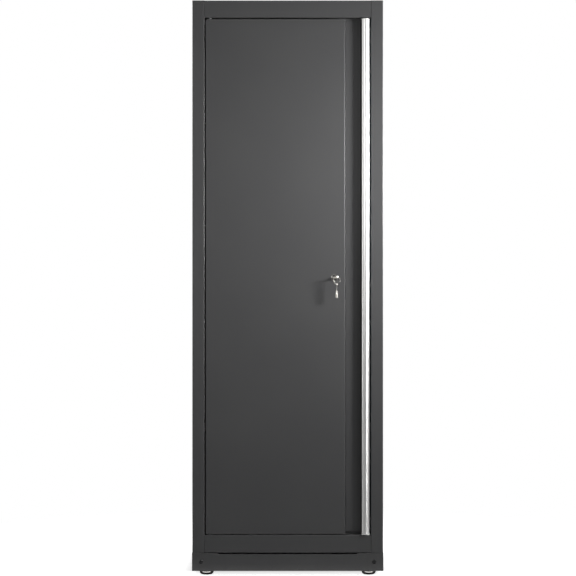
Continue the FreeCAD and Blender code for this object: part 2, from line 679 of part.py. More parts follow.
door = pan("door_panel", "XZ_Plane", ("door_left", "grip_left", "door_low", "door_top"), "0 - door_back", "door_thick")
drill(door, "XZ_Plane", "0 - front", [("lock_across", "lock_up", "housing_radius + seat_fit")], "sheet")
drill(door, "XY_Plane", "door_top", [("pivot_x", "pivot_y", "pin_radius + seat_fit")], "sheet")
drill(door, "XY_Plane", "door_low + sheet", [("pivot_x", "pivot_y", "pin_radius + seat_fit")], "sheet")


def screw_rows(body, feature):
    """Repeat a feature at each handle screw."""
    return repeat(body, [feature], [("LinearPattern", "Z_Axis", "door_top - door_low - 2 * handle_screw_first", 6)])


channel = folded("grip_channel", "XY_Plane", [
    ("grip_left", "door_back"), ("grip_left", "channel_front"), ("ledge_x", "channel_front"),
    ("ledge_x", "front"), ("door_right", "front"), ("door_right", "door_back"), ("ledge_x + 2", "door_back")],
    "door_low + channel_low_gap", "door_top - channel_top_gap - door_low - channel_low_gap", 1)
first_screw = "door_low + handle_screw_first"
hole = drill(channel, "XZ_Plane", "0 - front", [("handle_screw_x", first_screw, "handle_screw_radius + thread_fit")],
             "sheet")
screw_rows(channel, hole)

for name, centre in (("lock_channel", "lock_across"), ("door_stiffener", "stiffener_across")):
    hat = folded(name, "XY_Plane", [
        (f"{centre} - channel_width / 2", "skin_back"),
        (f"{centre} - channel_width / 2 + channel_foot", "skin_back"),
        (f"{centre} - channel_width / 2 + channel_foot", "door_back - sheet"),
        (f"{centre} + channel_width / 2 - channel_foot", "door_back - sheet"),
        (f"{centre} + channel_width / 2 - channel_foot", "skin_back"),
        (f"{centre} + channel_width / 2", "skin_back")],
        "door_low + sheet + bend", "door_top - door_low - 2 * (sheet + bend)", 1)
    if name == "lock_channel":
        drill(hat, "XZ_Plane", "sheet - door_back", [("lock_across", "lock_up", "rosette_radius")], "sheet")

# Pull handle: a half-round hollow extrusion with plugged ends.


def half_round(sketch, radius, base):
    """A segment of a circle about the handle's centre, closed along a base line."""
    centre = FreeCAD.Vector(value("handle_axis"), value("handle_centre"), 0)
    reach = value(radius)
    lift = value(base) - centre.y
    half = (reach * reach - lift * lift) ** 0.5
    left = FreeCAD.Vector(centre.x - half, value(base), 0)
    right = FreeCAD.Vector(centre.x + half, value(base), 0)
    crest = FreeCAD.Vector(centre.x, centre.y - reach, 0)
    arc = sketch.addGeometry(Part.Arc(left, crest, right), False)
    line = sketch.addGeometry(Part.LineSegment(right, left), False)
    begin, end = (1, 2) if sketch.getPoint(arc, 1).x < sketch.getPoint(arc, 2).x else (2, 1)
    sketch.addConstraint(Sketcher.Constraint("Coincident", arc, end, line, 1))
    sketch.addConstraint(Sketcher.Constraint("Coincident", arc, begin, line, 2))
    pin_point(sketch, arc, 3, ("handle_axis", "handle_centre"))
    number = sketch.addConstraint(Sketcher.Constraint("Radius", arc, reach))
    sketch.setExpression(f"Constraints[{number}]", bound(radius))
    for point in (1, 2):
        number = sketch.addConstraint(Sketcher.Constraint("DistanceY", -1, 1, line, point, value(base)))
        sketch.setExpression(f"Constraints[{number}]", bound(base))


handle = new_body("pull_handle")
sketch = sketch_on(handle, "XY_Plane", "handle_low + cap_thick")
half_round(sketch, "handle_curve", "front")
extrude(handle, sketch, "Pad", "handle_top - handle_low - 2 * cap_thick")
sketch = sketch_on(handle, "XY_Plane", "handle_low + cap_thick")
half_round(sketch, "handle_curve - handle_wall", "front - handle_wall")
extrude(handle, sketch, "Pocket", "handle_top - handle_low - 2 * cap_thick", True)
hole = drill(handle, "XZ_Plane", "handle_wall - front",
             [("handle_screw_x", first_screw, "handle_screw_radius + thread_fit")], "handle_wall")
screw_rows(handle, hole)

for name, low, spigot in (("upper_handle_cap", "handle_top - cap_thick", "handle_top - cap_thick - cap_spigot"),
                          ("lower_handle_cap", "handle_low", "handle_low + cap_thick")):
    cap = new_body(name)
    sketch = sketch_on(cap, "XY_Plane", low)
    half_round(sketch, "handle_curve", "front")
    extrude(cap, sketch, "Pad", "cap_thick")
    sketch = sketch_on(cap, "XY_Plane", spigot)
    half_round(sketch, "handle_curve - handle_wall - slide_fit", "front - handle_wall - slide_fit")
    extrude(cap, sketch, "Pad", "cap_spigot")

screws = new_body("handle_screws")
screw = add_turned(screws, "XY_Plane", first_screw, "handle_screw_x", [
    ("0", "front - handle_wall - cutout_play"), ("handle_screw_radius", "front - handle_wall - cutout_play"),
    ("handle_screw_radius", "skin_back"), ("handle_screw_head", "skin_back"),
    ("handle_screw_head", "skin_back + 1.6"), ("handle_screw_head - 1.4", "skin_back + 2.6"),
    ("0", "skin_back + 2.6")])
screw_rows(screws, screw)

# Pivots: a headed pin in a bracket inside each end of the door turns in a
# flanged bush in the rail.

pivots = (("upper", "bracket_top", "1", "opening_top", "door_top"),
          ("lower", "bracket_low", "-1", "opening_low", "door_low"))
for name, seat, way, rail_face, door_edge in pivots:
    upper = way == "1"
    bracket = new_body(f"{name}_pivot_bracket")
    add_box(bracket, "XY_Plane", f"{seat} - bracket_thick" if upper else seat,
            ("door_left + sheet + bend", "pivot_x + bracket_reach", "skin_back + bend", "door_back - cutout_play"),
            "bracket_thick")
    add_box(bracket, "XY_Plane", f"{seat} - bracket_leg" if upper else f"{seat} + bend",
            ("door_left + sheet + bend", "pivot_x + bracket_reach", "skin_back", "skin_back + bracket_thick"),
            "bracket_leg - bend")
    drill(bracket, "XY_Plane", seat if upper else f"{seat} + bracket_thick",
          [("pivot_x", "pivot_y", "pin_radius + seat_fit")], "bracket_thick")
    under = f"{seat} - ({way}) * bracket_thick"
    drill(bracket, "XY_Plane", under, [("pivot_x", "pivot_y", "pin_head_radius + slide_fit")],
          "pin_head_height + slide_fit", not upper)
    end = f"{rail_face} + ({way}) * (sheet + pin_rise)"
    turned(f"{name}_pivot_pin", "XZ_Plane", "0 - pivot_y", "pivot_x", [
        ("0", f"{under} - ({way}) * pin_head_height"), ("pin_head_radius", f"{under} - ({way}) * pin_head_height"),
        ("pin_head_radius", under), ("pin_radius", under), ("pin_radius", f"{end} - ({way}) * 1"),
        ("pin_radius - 1", end), ("0", end)])
    play = "cutout_play" if upper else "touch_play"
    collar = f"{door_edge} + ({way}) * {play}"
    turned(f"{name}_pivot_bush", "XZ_Plane", "0 - pivot_y", "pivot_x", [
        ("pin_radius + turn_fit", collar), ("collar_radius", collar), ("collar_radius", rail_face),
        ("pin_radius + bush_wall", rail_face), ("pin_radius + bush_wall", f"{end} - ({way}) * 1"),
        ("pin_radius + turn_fit", f"{end} - ({way}) * 1")])

# Rubber buffers and strike plates on the stop lips.

buffers = new_body("door_buffers")
sketch = sketch_on(buffers, "XZ_Plane", "0 - lip_front")
for centre in ("lock_across", "stiffener_across"):
    circle(sketch, centre, "lip_top_edge + buffer_radius + cutout_play", "buffer_radius")
    circle(sketch, centre, "lip_low_edge - buffer_radius - cutout_play", "buffer_radius")
extrude(buffers, sketch, "Pad", "lip_front - door_back - touch_play")

for name, centre, low, high in (
        ("upper_rod_strike", "upper_rod_x", "lip_top_edge", "opening_top"),
        ("lower_rod_strike", "lower_rod_x", "opening_low", "lip_low_edge")):
    strike = new_body(name)
    add_box(strike, "XZ_Plane", "0 - lip_back - strike_thick",
            (f"{centre} - strike_half", f"{centre} + strike_half", low, high), "strike_thick")

# Lock: a threaded housing with its rosette, the nut behind the door skin and
# the turning plug with the cam that drives both rods.

turned("lock_housing", "XY_Plane", "lock_up", "lock_across", [
    ("plug_radius + turn_fit", "lock_face"), ("rosette_radius - 1", "lock_face"),
    ("rosette_radius", "lock_face + 1"), ("rosette_radius", "front"), ("housing_radius", "front"),
    ("housing_radius", "front + housing_depth"), ("plug_radius + turn_fit", "front + housing_depth")])

nut = new_body("lock_nut")
sketch = sketch_on(nut, "XZ_Plane", "0 - skin_back - lock_nut_height")
hexagon(sketch, "lock_across", "lock_up", "lock_nut_flats")
circle(sketch, "lock_across", "lock_up", "housing_radius + seat_fit")
extrude(nut, sketch, "Pad", "lock_nut_height")

plug = turned("lock_plug", "XY_Plane", "lock_up", "lock_across", [
    ("0", "lock_face"), ("plug_radius", "lock_face"), ("plug_radius", "front + housing_depth - cutout_play"),
    ("0", "front + housing_depth - cutout_play")])
add_box(plug, "XZ_Plane", "0 - cam_back",
        ("lock_across - tail_half", "lock_across + tail_half", "lock_up - tail_half", "lock_up + tail_half"),
        "cam_back - front - housing_depth + cutout_play")
keyway = sketch_on(plug, "XZ_Plane", "0 - lock_face")
circle(keyway, "lock_across", "lock_up", "tube_radius + key_fit")
circle(keyway, "lock_across", "lock_up", "tube_bore - key_fit")
extrude(plug, keyway, "Pocket", "key_in + cutout_play")
cut_box(plug, "XZ_Plane", "0 - lock_face",
        ("lock_across - lug_half - key_fit", "lock_across + lug_half + key_fit",
         "lock_up + tube_radius", "lock_up + tube_radius + lug_high + key_fit"), "key_in + cutout_play")
drill(plug, "XZ_Plane", "0 - cam_back", [("lock_across", "lock_up", "cam_screw_radius + seat_fit")], "5", True)

cam = new_body("lock_cam")
sketch = sketch_on(cam, "XZ_Plane", "0 - cam_back")
reach, bevel = "(cam_throw + 5.5)", "(cam_half / 2)"
outline = []
for along_way, across_way in ((1, -1), (1, 1), (-1, 1), (-1, -1)):
    near = (f"({along_way}) * ({reach} - {bevel})", f"({across_way}) * cam_half")
    far = (f"({along_way}) * {reach}", f"({across_way}) * {bevel}")
    pair = [far, near] if along_way == across_way else [near, far]
    outline.extend(pair)
polygon(sketch, [(f"lock_across + ({u} - ({v})) * sqrt(0.5)", f"lock_up + ({u} + {v}) * sqrt(0.5)")
                 for u, v in outline])
tail = "tail_half + seat_fit"
rectangle(sketch, f"lock_across - {tail.replace('+', '-')}", f"lock_across + {tail}",
          f"lock_up - {tail.replace('+', '-')}", f"lock_up + {tail}")
extrude(cam, sketch, "Pad", "cam_thick")
sketch = sketch_on(cam, "XZ_Plane", "0 - rod_back - rod_thick / 2")
for sign in ("-1", "1"):
    circle(sketch, f"lock_across + ({sign}) * cam_drop", f"lock_up + ({sign}) * cam_drop", "cam_pin_radius")
extrude(cam, sketch, "Pad", "rod_back + rod_thick / 2 - cam_back")

turned("cam_screw", "XY_Plane", "lock_up", "lock_across", [
    ("0", "cam_back - 4"), ("cam_screw_radius", "cam_back - 4"), ("cam_screw_radius", "cam_back"),
    ("cam_screw_head", "cam_back"), ("cam_screw_head", "cam_back + 2"),
    ("cam_screw_head - 1", "cam_back + 2.6"), ("0", "cam_back + 2.6")])

# Flat lock rods with slotted heads; drawn back at rest.

slot_half = "cam_pin_radius + rod_slot_play"
for name, side, way, end in (("upper_lock_rod", "-1", "-1", "lip_top_edge - rod_end_gap"),
                             ("lower_lock_rod", "1", "1", "lip_low_edge + rod_end_gap")):
    rod = new_body(name)
    middle = f"lock_across + ({side}) * rod_offset"
    level = f"lock_up + ({way}) * cam_drop"
    near, far = f"lock_across + ({side}) * rod_head_in", f"lock_across + ({side}) * rod_head_out"
    head = (far, near) if side == "-1" else (near, far)
    add_box(rod, "XZ_Plane", "0 - rod_back",
            (*head, f"{level} - rod_head_half", f"{level} + rod_head_half"), "rod_thick")
    span = (level, end) if side == "-1" else (end, level)
    add_box(rod, "XZ_Plane", "0 - rod_back",
            (f"{middle} - rod_width / 2", f"{middle} + rod_width / 2", *span), "rod_thick")
    near = f"lock_across + ({side}) * (cam_drop - {slot_half.replace('+', '-')})"
    far = f"lock_across + ({side}) * (cam_throw + {slot_half})"
    slot = (far, near) if side == "-1" else (near, far)
    cut_box(rod, "XZ_Plane", "0 - rod_front", (*slot, f"{level} - ({slot_half})", f"{level} + ({slot_half})"),
            "rod_thick")

guides = new_body("rod_guides")
for centre, level, last in (
        ("upper_rod_x", "lock_up + guide_first", "door_top - guide_end"),
        ("lower_rod_x", "door_low + guide_end", "lock_up - guide_first")):
    block = add_box(guides, "XY_Plane", f"{level} - guide_height / 2",
                    (f"{centre} - guide_half", f"{centre} + guide_half", "door_back", "rod_back + guide_wall"),
                    "guide_height")
    way = cut_box(guides, "XY_Plane", f"{level} + guide_height / 2",
                  (f"{centre} - rod_width / 2 - slide_fit", f"{centre} + rod_width / 2 + slide_fit",
                   "rod_front - slide_fit", "rod_back + slide_fit"), "guide_height")
    repeat(guides, [block, way], [("LinearPattern", "Z_Axis", f"{last} - ({level})", 2)])

# Key in the lock, the ring around one side of its bow and the spare key.

def tube_key(name, plane, level, centre, bow, way):
    """A flat bow with a neck in a tube, whose lug turns the plug.

    The key lies in the plane at a level, with its bow at (centre, bow) and its tube along way.
    """
    def along(distance):
        return f"{bow} + ({way}) * ({distance})"

    def span(near, far):
        return (along(near), along(far)) if way == "1" else (along(far), along(near))

    body = new_body(name)
    flat = f"{level} - key_thick / 2"
    sketch = sketch_on(body, plane, flat)
    circle(sketch, centre, bow, "key_bow_radius")
    extrude(body, sketch, "Pad", "key_thick")
    add_box(body, plane, flat, (f"{centre} - key_neck_half", f"{centre} + key_neck_half",
                                *span("key_hole_radius + cutout_play", "key_neck + 2")), "key_thick")
    add_turned(body, plane, level, centre, [
        ("0", along("key_neck")), ("tube_radius - 0.6", along("key_neck")),
        ("tube_radius", along("key_neck + 0.6")), ("tube_radius", along("key_length")),
        ("tube_bore", along("key_length")), ("tube_bore", along("key_length - tube_depth")),
        ("0", along("key_length - tube_depth"))])
    add_box(body, plane, f"{level} + tube_radius - 0.5", (f"{centre} - lug_half", f"{centre} + lug_half",
                                                          *span("key_length - lug_length", "key_length")),
            "lug_high + 0.5")
    drill(body, plane, f"{level} + key_thick / 2", [(centre, bow, "key_hole_radius")], "key_thick")


tube_key("key", "XY_Plane", "lock_up", "lock_across", "bow_y", "1")

ring = new_body("key_ring")
sketch = sketch_on(ring, "YZ_Plane", "limb_x")
circle(sketch, "bow_y", "ring_z + ring_radius", "ring_wire")
axis = sketch.addGeometry(Part.LineSegment(FreeCAD.Vector(value("front"), value("ring_z"), 0),
                                           FreeCAD.Vector(value("back"), value("ring_z"), 0)), True)
pin_point(sketch, axis, 1, ("front", "ring_z"))
pin_point(sketch, axis, 2, ("back", "ring_z"))
doc.recompute()
revolve(ring, sketch, (sketch, ["Axis0"]))

tube_key("spare_key", "YZ_Plane", "limb_x", "bow_y", "spare_z", "-1")

# Check every feature and write one file per piece.

doc.recompute()
os.makedirs("parts", exist_ok=True)
for body in BODIES:
    for feature in [body] + body.Group:
        if set(feature.State) & {"Invalid", "Error"}:
            raise RuntimeError(f"{body.Label}: {feature.Name} failed")
    if body.Shape.isNull() or not body.Shape.isValid():
        raise RuntimeError(f"{body.Label}: the shape isn't valid")
    body.Shape.exportStep(f"parts/{body.Label}.step")
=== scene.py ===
"""Tool chest side locker: finishes, fasteners, keys and studio around the CAD frame."""
import json
import math

import bmesh
import bpy
import numpy as np
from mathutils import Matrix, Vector


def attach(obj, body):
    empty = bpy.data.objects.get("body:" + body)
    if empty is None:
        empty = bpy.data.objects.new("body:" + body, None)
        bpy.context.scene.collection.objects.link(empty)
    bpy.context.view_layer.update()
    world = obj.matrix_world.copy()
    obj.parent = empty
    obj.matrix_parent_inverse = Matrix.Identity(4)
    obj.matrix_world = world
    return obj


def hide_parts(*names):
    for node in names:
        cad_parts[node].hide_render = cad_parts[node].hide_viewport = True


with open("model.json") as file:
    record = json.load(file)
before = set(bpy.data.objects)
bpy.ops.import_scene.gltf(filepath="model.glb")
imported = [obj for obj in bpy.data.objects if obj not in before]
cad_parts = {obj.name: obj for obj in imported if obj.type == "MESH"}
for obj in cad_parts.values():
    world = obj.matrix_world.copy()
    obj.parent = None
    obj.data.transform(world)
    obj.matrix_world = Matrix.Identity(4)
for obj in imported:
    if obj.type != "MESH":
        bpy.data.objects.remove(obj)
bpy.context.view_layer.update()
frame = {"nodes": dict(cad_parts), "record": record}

bl_info = {
    "name": "Tool Chest Side Locker",
    "version": (1, 0, 0),
    "blender": (4, 5, 0),
    "location": "3D View > Sidebar > Locker",
    "description": "Finishes, fasteners, keys and studio for a tall steel side locker",
    "category": "Object",
}

NODES = frame["nodes"]
SLOTS = {part["node"]: part["material_slot"] for part in frame["record"]["subparts"]}
MM = 0.001


# Places in the CAD frame, in millimetres. The locker stands on Z = 0 and faces -Y.

X, Y, Z = np.eye(3)
DOOR_FACE = -230.0
FEET = {f"{along}_{across}": (x, y, 0) for along, y in (("front", -205.0), ("rear", 205.0))
        for across, x in (("left", -260.0), ("right", 260.0))}
LOCK = (149.5, 0, 951)
CAM_SCREW = (149.5, -203.5, 951)
KEY_BOW = (149.5, -263.5, 951)
SPARE_BOW = (155.8, -263.5, 928.67)
RING = (155.8, -263.5, 943.12)
KICK_SCREWS = [(x, 0, 43.5) for x in (-277, 277)]
HANDLE_SCREWS = [(256.25, -228.8, z) for z in np.linspace(192.1, 1717.7, 6)]
BUFFERS = [(x, 0, z) for x in (-60, 149.5) for z in (139.3, 1772.5)]

# Nuts: lower and upper face along the axis, size over the flats, radius of the bore
JAM_NUT = (48.7, 54.7, 17, 4.6)
FOOT_WELD_NUT = (54.8, 64.8, 17, 5.1)
KICK_WELD_NUT = (-227.6, -222.6, 10, 3.1)
LOCK_NUT = (-228.8, -224.8, 22, 9.5)
NUT_FACE = 0.9396  # a nut's round face as a share of its size over the flats

# Glides and stems
GLIDE_SOCKET = 8  # depth of the hole that holds the stem
STEM_TOP = 80

# Screws: radius over the thread, length under the head, and places along Y
M4, M6 = 2.0, 3.0
HANDLE_SHANK, CAM_SHANK = 4.2, 4.0
CAM_HEAD = 3.0
KICK_HEAD_FACE, KICK_SCREW_END = -234.5, -221.6

# Lock
ROSETTE_FACE, BARREL_END = -232.5, -212
PLUG_BORE = 6.62


# Colours and shader nodes

def linear(code):
    """Linear RGBA of an sRGB hex colour such as "4A4A4C", by the sRGB transfer curve."""
    srgb = np.array([int(code[i:i + 2], 16) for i in (0, 2, 4)]) / 255
    rgb = np.where(srgb <= 0.04045, srgb / 12.92, ((srgb + 0.055) / 1.055) ** 2.4)
    return (*rgb.tolist(), 1.0)


def add_node(tree, kind, inputs=None, **settings):
    """One shader node with its settings. Each input is a value or the socket to link from."""
    made = tree.nodes.new(kind)
    for name, value in settings.items():
        setattr(made, name, value)
    for name, value in (inputs or {}).items():
        if isinstance(value, bpy.types.NodeSocket):
            tree.links.new(value, made.inputs[name])
        else:
            made.inputs[name].default_value = value
    return made


def ramp(tree, value, start, end, low=0.0, high=1.0, **settings):
    """low where value is at start, high where it is at end, and in between on the way."""
    return add_node(tree, "ShaderNodeMapRange", {
        "Value": value, "From Min": start, "From Max": end, "To Min": low, "To Max": high,
    }, **settings).outputs["Result"]


def reckoned(tree, operation, *values):
    """The result of a Math node."""
    made = add_node(tree, "ShaderNodeMath", dict(enumerate(values)), operation=operation)
    return made.outputs[0]


def blended(tree, share, first, second):
    """The number first where share is 0 and second where it is 1."""
    return add_node(tree, "ShaderNodeMix", {0: share, 2: first, 3: second}).outputs[0]


def mixed(tree, share, first, second):
    """The shader first where share is 0 and second where it is 1."""
    return add_node(tree, "ShaderNodeMixShader", {0: share, 1: first, 2: second}).outputs[0]


def coated(name, colours, roughness, patch_mm, stretch=(1, 1, 1), relief_mm=0.0, grain_mm=1.0,
           inputs=None):
    """A Principled material in Object coordinates. Its colour and roughness change in clouds of
    patch_mm, longer along an axis where stretch is under 1. relief_mm is the height of a fine
    relief on grains of grain_mm. inputs are the shader's other values."""
    material = bpy.data.materials.new(name)
    material.use_nodes = True
    tree = material.node_tree
    tree.nodes.clear()
    place = add_node(tree, "ShaderNodeTexCoord").outputs["Object"]
    place = add_node(tree, "ShaderNodeMapping", {"Vector": place, "Scale": stretch}).outputs[0]
    cloud = add_node(tree, "ShaderNodeTexNoise", {
        "Vector": place, "Scale": 1 / (patch_mm * MM), "Detail": 3.0}).outputs["Fac"]
    first, second = (linear(code) for code in colours)
    colour = add_node(tree, "ShaderNodeMix", {"Factor": cloud, 6: first, 7: second},
                      data_type="RGBA").outputs[2]
    shader = add_node(tree, "ShaderNodeBsdfPrincipled", {
        "Base Color": colour, "Roughness": ramp(tree, cloud, 0.3, 0.7, *roughness),
        **(inputs or {})})
    if relief_mm:
        grain = add_node(tree, "ShaderNodeTexNoise", {
            "Vector": place, "Scale": 1 / (grain_mm * MM), "Detail": 2.0}).outputs["Fac"]
        relief = add_node(tree, "ShaderNodeBump", {
            "Height": grain, "Distance": relief_mm * MM, "Strength": 1.0}).outputs["Normal"]
        tree.links.new(relief, shader.inputs["Normal"])
    add_node(tree, "ShaderNodeOutputMaterial", {"Surface": shader.outputs["BSDF"]})
    return material


def charcoal_powder_coat():
    """Polyester powder coat baked on steel sheet: satin, with a fine orange peel that blurs what
    it mirrors."""
    return coated("charcoal_powder_coat", ("343435", "393939"), (0.30, 0.36), 260,
                  relief_mm=0.008, grain_mm=2.4, inputs={"Specular IOR Level": 0.3})


def zinc_plate():
    """Bright zinc plating on pressed steel: a cool grey metal with cloudy, half-dull patches."""
    return coated("zinc_plate", ("B9BEC4", "CDD0D2"), (0.26, 0.42), 9,
                  relief_mm=0.003, grain_mm=0.8, inputs={"Metallic": 1.0})


def chrome_plate():
    """Decorative chrome plating over nickel, polished: mirrors the room a little darker than
    silver would."""
    return coated("chrome_plate", ("9A9997", "AAA8A5"), (0.05, 0.11), 14,
                  inputs={"Metallic": 1.0})


def nickel_plate():
    """Nickel plating on stamped key blanks and spring wire: warm white metal with fine handling
    scratches."""
    return coated("nickel_plate", ("BEBBB4", "CCC9C3"), (0.16, 0.28), 3, stretch=(1, 1, 0.25),
                  relief_mm=0.002, grain_mm=0.3, inputs={"Metallic": 1.0})


def black_oxide():
    """Black oxide on machine screws: an oiled, near-black skin with small bright highlights."""
    return coated("black_oxide", ("08080A", "0E0E10"), (0.10, 0.16), 4,
                  relief_mm=0.002, grain_mm=0.5, inputs={"Specular IOR Level": 0.25})


def anodised_aluminium():
    """Clear anodised extruded aluminium: satin, with die lines running along its length. The
    lines are drawn about 1 mm apart, several times coarser than real ones, so that they show."""
    return coated("anodised_aluminium", ("DCDCDB", "E8E7E4"), (0.29, 0.35), 1.0,
                  stretch=(1, 1, 0.012), relief_mm=0.0012, grain_mm=0.8,
                  inputs={"Metallic": 1.0})


def grey_cap_plastic():
    """Injection-moulded light grey ABS end caps with a fine spark-eroded grain."""
    return coated("grey_cap_plastic", ("CFCFCC", "D8D8D5"), (0.42, 0.50), 12,
                  relief_mm=0.01, grain_mm=0.5)


def natural_nylon():
    """Unpigmented moulded nylon: milky white, slightly waxy."""
    return coated("natural_nylon", ("D6D3C6", "E0DED3"), (0.34, 0.42), 8,
                  relief_mm=0.004, grain_mm=0.6,
                  inputs={"Subsurface Weight": 0.08, "Subsurface Radius": (0.002, 0.002, 0.0015)})


def graphite_nylon():
    """Nylon filled with graphite for the pivot bushes: dark grey and faintly greasy."""
    return coated("graphite_nylon", ("232425", "2C2D2E"), (0.38, 0.48), 6,
                  relief_mm=0.004, grain_mm=0.6)


def black_rubber():
    """Moulded black rubber of the door buffers: matt, faintly bloomed."""
    return coated("black_rubber", ("161616", "232323"), (0.62, 0.78), 5,
                  relief_mm=0.01, grain_mm=0.6)


FINISHES = {
    "charcoal_paint": charcoal_powder_coat,
    "zinc_steel": zinc_plate,
    "bright_chrome": chrome_plate,
    "nickel_steel": nickel_plate,
    "black_screw": black_oxide,
    "satin_aluminium": anodised_aluminium,
    "cap_plastic": grey_cap_plastic,
    "white_nylon": natural_nylon,
    "dark_nylon": graphite_nylon,
    "buffer_rubber": black_rubber,
}


def finish_of(node):
    """The material of a node's slot, made when it is first asked for."""
    maker = FINISHES[SLOTS[node]]
    return bpy.data.materials.get(maker.__name__) or maker()


# Surfaces, in millimetres in the CAD frame. Each is (points, u closed, v closed).

def rounded(points, radius, steps=5):
    """A profile whose corners are eased: each corner point p becomes the curve
    (1-t)^2 a + 2t(1-t) p + t^2 b, where a and b lie radius away from p on its two sides, or nearly
    half way along a shorter side."""
    points = np.array(points, float)
    before, corner, after = points[:-2], points[1:-1], points[2:]
    ease = []
    for other in (before, after):
        side = other - corner
        long = np.maximum(np.linalg.norm(side, axis=1, keepdims=True), 1e-9)
        ease.append(corner + side / long * np.minimum(radius, 0.49 * long))
    t = np.linspace(0, 1, steps)[None, :, None]
    curve = ((1 - t) ** 2 * ease[0][:, None] + 2 * t * (1 - t) * corner[:, None]
             + t ** 2 * ease[1][:, None])
    return np.vstack([points[:1], curve.reshape(-1, 2), points[-1:]])


def full_turn(count):
    """Angles of a whole turn, without its end."""
    return np.linspace(0, 2 * np.pi, count, endpoint=False)


def spun(centre, axis, height, radius, turn):
    """p = centre + height axis + radius (cos turn, sin turn) across the axis."""
    across = Z if abs(axis[2]) < 0.5 else X
    side = np.cross(axis, across)
    return (np.array(centre) + height[..., None] * axis
            + radius[..., None] * (np.cos(turn)[:, None] * across + np.sin(turn)[:, None] * side))


def turned(profile, centre, axis, count=48, flats=None, socket=None):
    """A profile of (radius, height) turned about an axis. flats keeps the radius within a hexagon
    of that size over its flats; a socket of (size, height) makes it a hexagon of that size
    wherever the profile lies below that height and within the size."""
    radius, height = np.array(profile, float).T
    turn = full_turn(count)
    six = np.cos((turn + np.pi / 6) % (np.pi / 3) - np.pi / 6)
    r = np.repeat(radius[:, None], count, axis=1)
    if flats:
        r = np.minimum(r, flats / 2 / six)
    if socket:
        across, below = np.array(socket) + 1e-6
        inside = (radius > 0) & (radius <= across / 2) & (height <= below)
        r = np.where(inside[:, None], r / six, r)
    return spun(centre, axis, height[:, None], r, turn), False, True


def threaded(radius, pitch, low, high, centre, axis, depth=None, count=32, per_pitch=6, bore=0):
    """A screw thread of radius - depth |2 f - 1|, where f is the fraction of
    height / pitch - turn / 2 pi, so the crest climbs one pitch a turn. The ends taper to the root
    and close in the middle, or go on round through a bore."""
    depth = depth or 0.61 * pitch
    rows = int((high - low) / pitch * per_pitch) + 1
    along = np.linspace(low, high, rows)[:, None]
    turn = full_turn(count)
    wave = np.abs(2 * ((along / pitch - turn / (2 * np.pi)) % 1) - 1)
    taper = np.clip(np.minimum(along - low, high - along) / pitch, 0, 1)
    r = radius - depth * np.maximum(wave, 1 - taper)
    along, r = (np.vstack([a[:1], a, a[-1:]]) for a in (along, r))
    r[[0, -1]] = bore
    return spun(centre, axis, along, r, turn), bore > 0, True


def soft_rectangle(half_width, half_height, power=6, count=32):
    """A rectangle with eased corners:
    (w sgn(cos a) |cos a|^(2/power), h sgn(sin a) |sin a|^(2/power))."""
    turn = full_turn(count)
    return np.stack([half * np.sign(wave) * np.abs(wave) ** (2 / power) for half, wave in
                     ((half_width, np.cos(turn)), (half_height, np.sin(turn)))], axis=1)


def swept(places, across, up, sections):
    """Sections along a path: p(u, v) = place(u) + x(u, v) across(u) + y(u, v) up(u)."""
    across, up = (np.broadcast_to(a, (len(places), 3)) for a in (across, up))
    return places[:, None] + sections[..., :1] * across[:, None] + sections[..., 1:] * up[:, None]


def carried(places, across, up, section, scale):
    """A section carried along a path, closed in its middle at the first place and left open at
    the last. scale gives each place's own (x, y) factors."""
    body = swept(places, across, up, section[None] * np.array(scale, float)[:, None])
    start = np.repeat(body[:1].mean(axis=1, keepdims=True), len(section), axis=1)
    return np.concatenate([start, body]), False, True


def looped(places, across, up, section):
    """A section carried round a closed path, with no ends."""
    return swept(places, across, up, section[None]), True, True


def shell_of(points, u_closed, v_closed):
    """A mesh of one surface: four neighbouring points make a face, doubles at poles and seams are
    merged and the faces are turned outwards."""
    index = np.arange(points.shape[0] * points.shape[1]).reshape(points.shape[:2])
    if u_closed:
        index = np.vstack([index, index[:1]])
    if v_closed:
        index = np.hstack([index, index[:, :1]])
    faces = np.stack([index[:-1, :-1], index[1:, :-1], index[1:, 1:], index[:-1, 1:]], axis=-1)
    mesh = bpy.data.meshes.new("part")
    mesh.from_pydata((points.reshape(-1, 3) * MM).tolist(), [], faces.reshape(-1, 4).tolist())
    shell = bmesh.new()
    shell.from_mesh(mesh)
    bmesh.ops.remove_doubles(shell, verts=shell.verts, dist=2e-6)
    bmesh.ops.recalc_face_normals(shell, faces=shell.faces)
    shell.to_mesh(mesh)
    shell.free()
    return mesh


def make_piece(name, surfaces, body, node):
    """One object of several surfaces that rides on a body and stands for a node."""
    mesh = bpy.data.meshes.new(name)
    sheet = bmesh.new()
    for surface in surfaces:
        part = shell_of(*surface)
        sheet.from_mesh(part)
        bpy.data.meshes.remove(part)
    sheet.to_mesh(mesh)
    sheet.free()
    mesh.materials.append(finish_of(node))
    mesh.shade_smooth()
    mesh.set_sharp_from_angle(angle=math.radians(32))
    made = bpy.data.objects.new(name, mesh)
    bpy.context.scene.collection.objects.link(made)
    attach(made, body)
    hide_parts(node)


# Shapes that several pieces share

def hex_nut(nut, centre, axis):
    """A hexagon nut whose corners are turned down at 30 degrees, with a chamfered bore."""
    low, high, flats, bore = nut
    corner, face, chamfer = flats / math.sqrt(3), flats / 2 * NUT_FACE, bore + 0.5
    drop = (corner - face) * math.tan(math.radians(30))
    profile = rounded([(bore, low + 0.5), (chamfer, low), (face, low), (corner, low + drop),
                       (corner, high - drop), (face, high), (chamfer, high), (bore, high - 0.5),
                       (bore, low + 0.5)], 0.15, 3)
    return turned(profile, centre, axis, 72, flats=flats)


